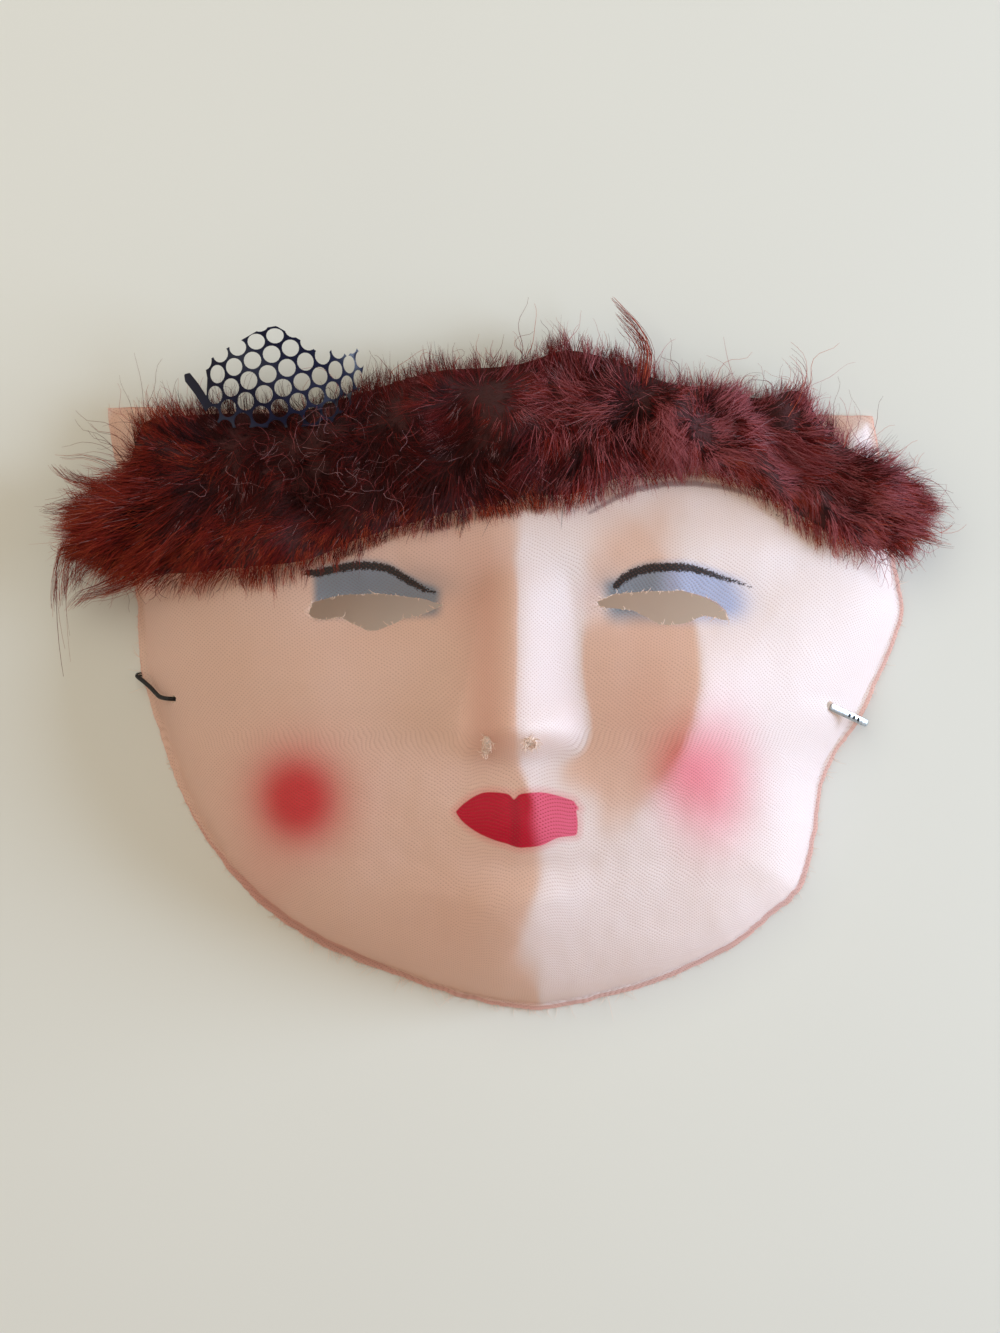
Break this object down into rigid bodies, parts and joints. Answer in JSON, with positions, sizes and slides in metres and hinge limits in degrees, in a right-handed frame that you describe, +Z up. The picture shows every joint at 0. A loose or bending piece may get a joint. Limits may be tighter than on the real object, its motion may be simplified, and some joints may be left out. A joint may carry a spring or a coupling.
{
  "type": "moulded gauze costume face mask",
  "caption": "Moulded gauze costume face mask with cut eye holes, painted lips, lids and cheeks, a long-pile fur fringe, a scrap of punched net and a round elastic.",
  "frame": {"origin": "middle of the mask's outline on the surface that it lies on, face up", "axes": "+Z up out of the face, +Y towards the forehead, +X to the right as seen from above"},
  "size_m": [0.194, 0.1542, 0.0495],
  "materials": {
    "gauze": "starched open-weave gauze, pale pink, matt with a faint sheen, painted",
    "fur": "long-pile acrylic fur, dark auburn",
    "net": "thin glossy navy plastic sheet",
    "elastic": "braided black covering, matt",
    "tag_metal": "soft bright pressed metal"
  },
  "bodies": {
    "root": {"gauze_shell": "gauze", "fur_strip": "fur", "net_scrap": "net", "elastic_cord": "elastic", "tag_left": "tag_metal", "tag_right": "tag_metal"}
  },
  "joints": []
}
